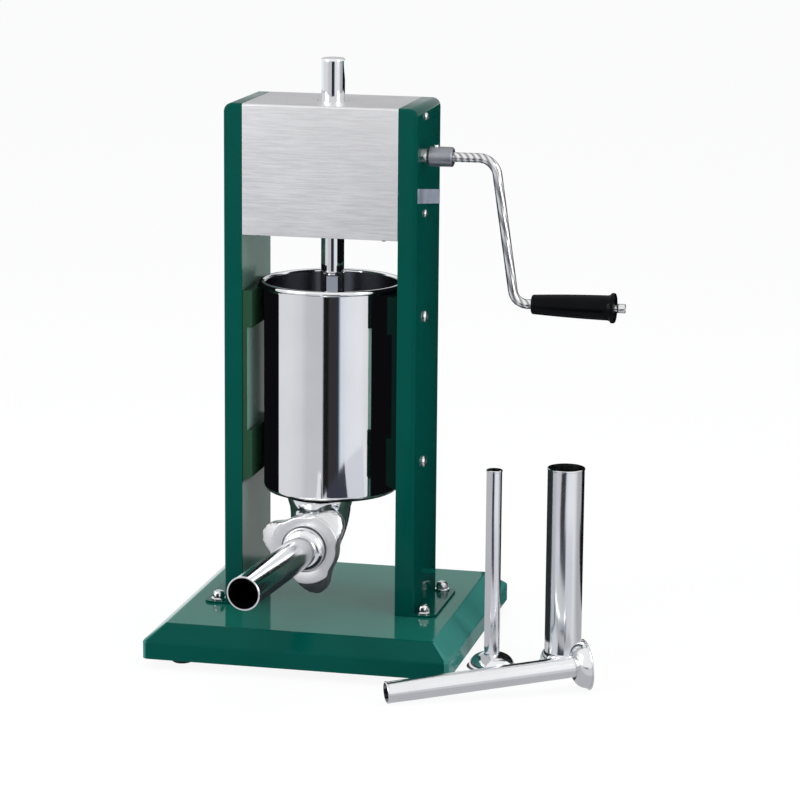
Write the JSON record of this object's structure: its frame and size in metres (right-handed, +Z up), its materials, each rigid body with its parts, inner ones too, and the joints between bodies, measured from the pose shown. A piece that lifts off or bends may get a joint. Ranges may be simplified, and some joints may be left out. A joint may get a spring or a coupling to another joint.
{
  "type": "vertical sausage stuffer",
  "caption": "Hand-cranked vertical sausage stuffer: geared rack drives a piston down a steel cylinder with an elbow outlet, lobed nut, mounted tube and spare tubes.",
  "frame": {"origin": "middle of the whole footprint, with the spare tubes and the mounted tube, on the floor", "axes": "+Z up along the rod, -Y towards the side that the outlet points to, +X towards the crank"},
  "size_m": [0.474, 0.4336, 0.6165],
  "materials": {
    "green_paint": "gloss dark green",
    "stainless": "satin stainless sheet",
    "polished_steel": "mirror polished",
    "cast_steel": "cast and satin finished",
    "gear_steel": "machined, oiled",
    "bronze": "machined bearing bronze",
    "black_plastic": "moulded, half gloss",
    "rubber": "matte black",
    "silicone": "translucent white, matte"
  },
  "bodies": {
    "frame": {"base_pan": "green_paint", "bracket_bolt_1": "polished_steel", "bracket_bolt_2": "polished_steel", "bracket_bolt_3": "polished_steel", "bracket_bolt_4": "polished_steel", "column_left": "green_paint", "column_right": "green_paint", "cover_screw_1": "polished_steel", "cover_screw_2": "polished_steel", "cover_screw_3": "polished_steel", "cover_screw_4": "polished_steel", "cylinder": "polished_steel", "cylinder_bracket_left": "green_paint", "cylinder_bracket_right": "green_paint", "floor_screw_1": "polished_steel", "floor_screw_2": "polished_steel", "floor_screw_3": "polished_steel", "floor_screw_4": "polished_steel", "foot_bolt_1": "polished_steel", "foot_bolt_2": "polished_steel", "foot_bolt_3": "polished_steel", "foot_bolt_4": "polished_steel", "gearbox_cover": "stainless", "gearbox_floor": "stainless", "input_bush_left": "bronze", "input_bush_right": "bronze", "outlet_elbow": "polished_steel", "outlet_gasket": "silicone", "pinion_bush_left": "bronze", "pinion_bush_right": "bronze", "rod_guide_bottom": "bronze", "rod_guide_top": "bronze", "rubber_foot_1": "rubber", "rubber_foot_2": "rubber", "rubber_foot_3": "rubber", "rubber_foot_4": "rubber", "side_plate_left": "green_paint", "side_plate_right": "green_paint"},
    "crank": {"input_shaft": "gear_steel", "input_gear": "gear_steel", "crank_hub": "polished_steel", "crank_set_screw": "polished_steel", "crank_arm": "polished_steel", "grip_end_cap": "polished_steel"},
    "grip": {"crank_grip": "black_plastic"},
    "pinion": {"pinion_shaft": "gear_steel", "driven_gear": "gear_steel", "rack_pinion": "gear_steel", "shaft_ring_1": "gear_steel", "shaft_ring_2": "gear_steel"},
    "rod": {"rack_rod": "polished_steel", "piston": "stainless", "piston_seal": "silicone", "piston_nut": "stainless"},
    "valve": {"air_valve": "stainless"},
    "tube": {"stuffing_tube": "polished_steel"},
    "nut": {"tube_nut": "cast_steel"},
    "thin_tube": {"spare_tube_thin": "polished_steel"},
    "wide_tube": {"spare_tube_wide": "polished_steel"},
    "medium_tube": {"spare_tube_medium": "polished_steel"}
  },
  "joints": [
    {"name": "crank_turn", "type": "hinge", "parent": "frame", "child": "crank", "pos_m": [-0.076, 0.02278, 0.523], "axis": [1, 0, 0], "range_deg": [0, 2148.59]},
    {"name": "pinion_turn", "type": "hinge", "parent": "frame", "child": "pinion", "pos_m": [-0.076, 0.07228, 0.523], "axis": [1, 0, 0], "range_deg": [-1228.77, 1]},
    {"name": "rod_slide", "type": "slide", "parent": "frame", "child": "rod", "axis": [0, 0, 1], "range_m": [0, 0.2251]},
    {"name": "grip_spin", "type": "hinge", "parent": "crank", "child": "grip", "pos_m": [0.141, 0.02278, 0.3755], "axis": [1, 0, 0], "continuous": true},
    {"name": "valve_lift", "type": "slide", "parent": "rod", "child": "valve", "axis": [0, 0, 1], "range_m": [0, 0.004]},
    {"name": "nut_turn", "type": "hinge", "parent": "tube", "child": "nut", "pos_m": [-0.08321, -0.03383, 0.118], "axis": [-0.0802, -0.9968, 0], "range_deg": [0, 1080]},
    {"name": "tube_slide", "type": "slide", "parent": "frame", "child": "tube", "axis": [-0.0802, -0.9968, 0], "range_m": [0, 0.009]},
    {"name": "thin_tube_lift", "type": "slide", "parent": "frame", "child": "thin_tube", "axis": [0, 0, 1], "range_m": [0, 0.1]},
    {"name": "wide_tube_lift", "type": "slide", "parent": "frame", "child": "wide_tube", "axis": [0, 0, 1], "range_m": [0, 0.1]},
    {"name": "medium_tube_lift", "type": "slide", "parent": "frame", "child": "medium_tube", "axis": [0, 0, 1], "range_m": [0, 0.1]}
  ],
  "couplings": [
    {"joint": "pinion_turn", "follows": "crank_turn", "ratio": -0.57143},
    {"joint": "rod_slide", "follows": "crank_turn", "m_per_rad": 0.006},
    {"joint": "tube_slide", "follows": "nut_turn", "m_per_rad": 0.00047746}
  ]
}
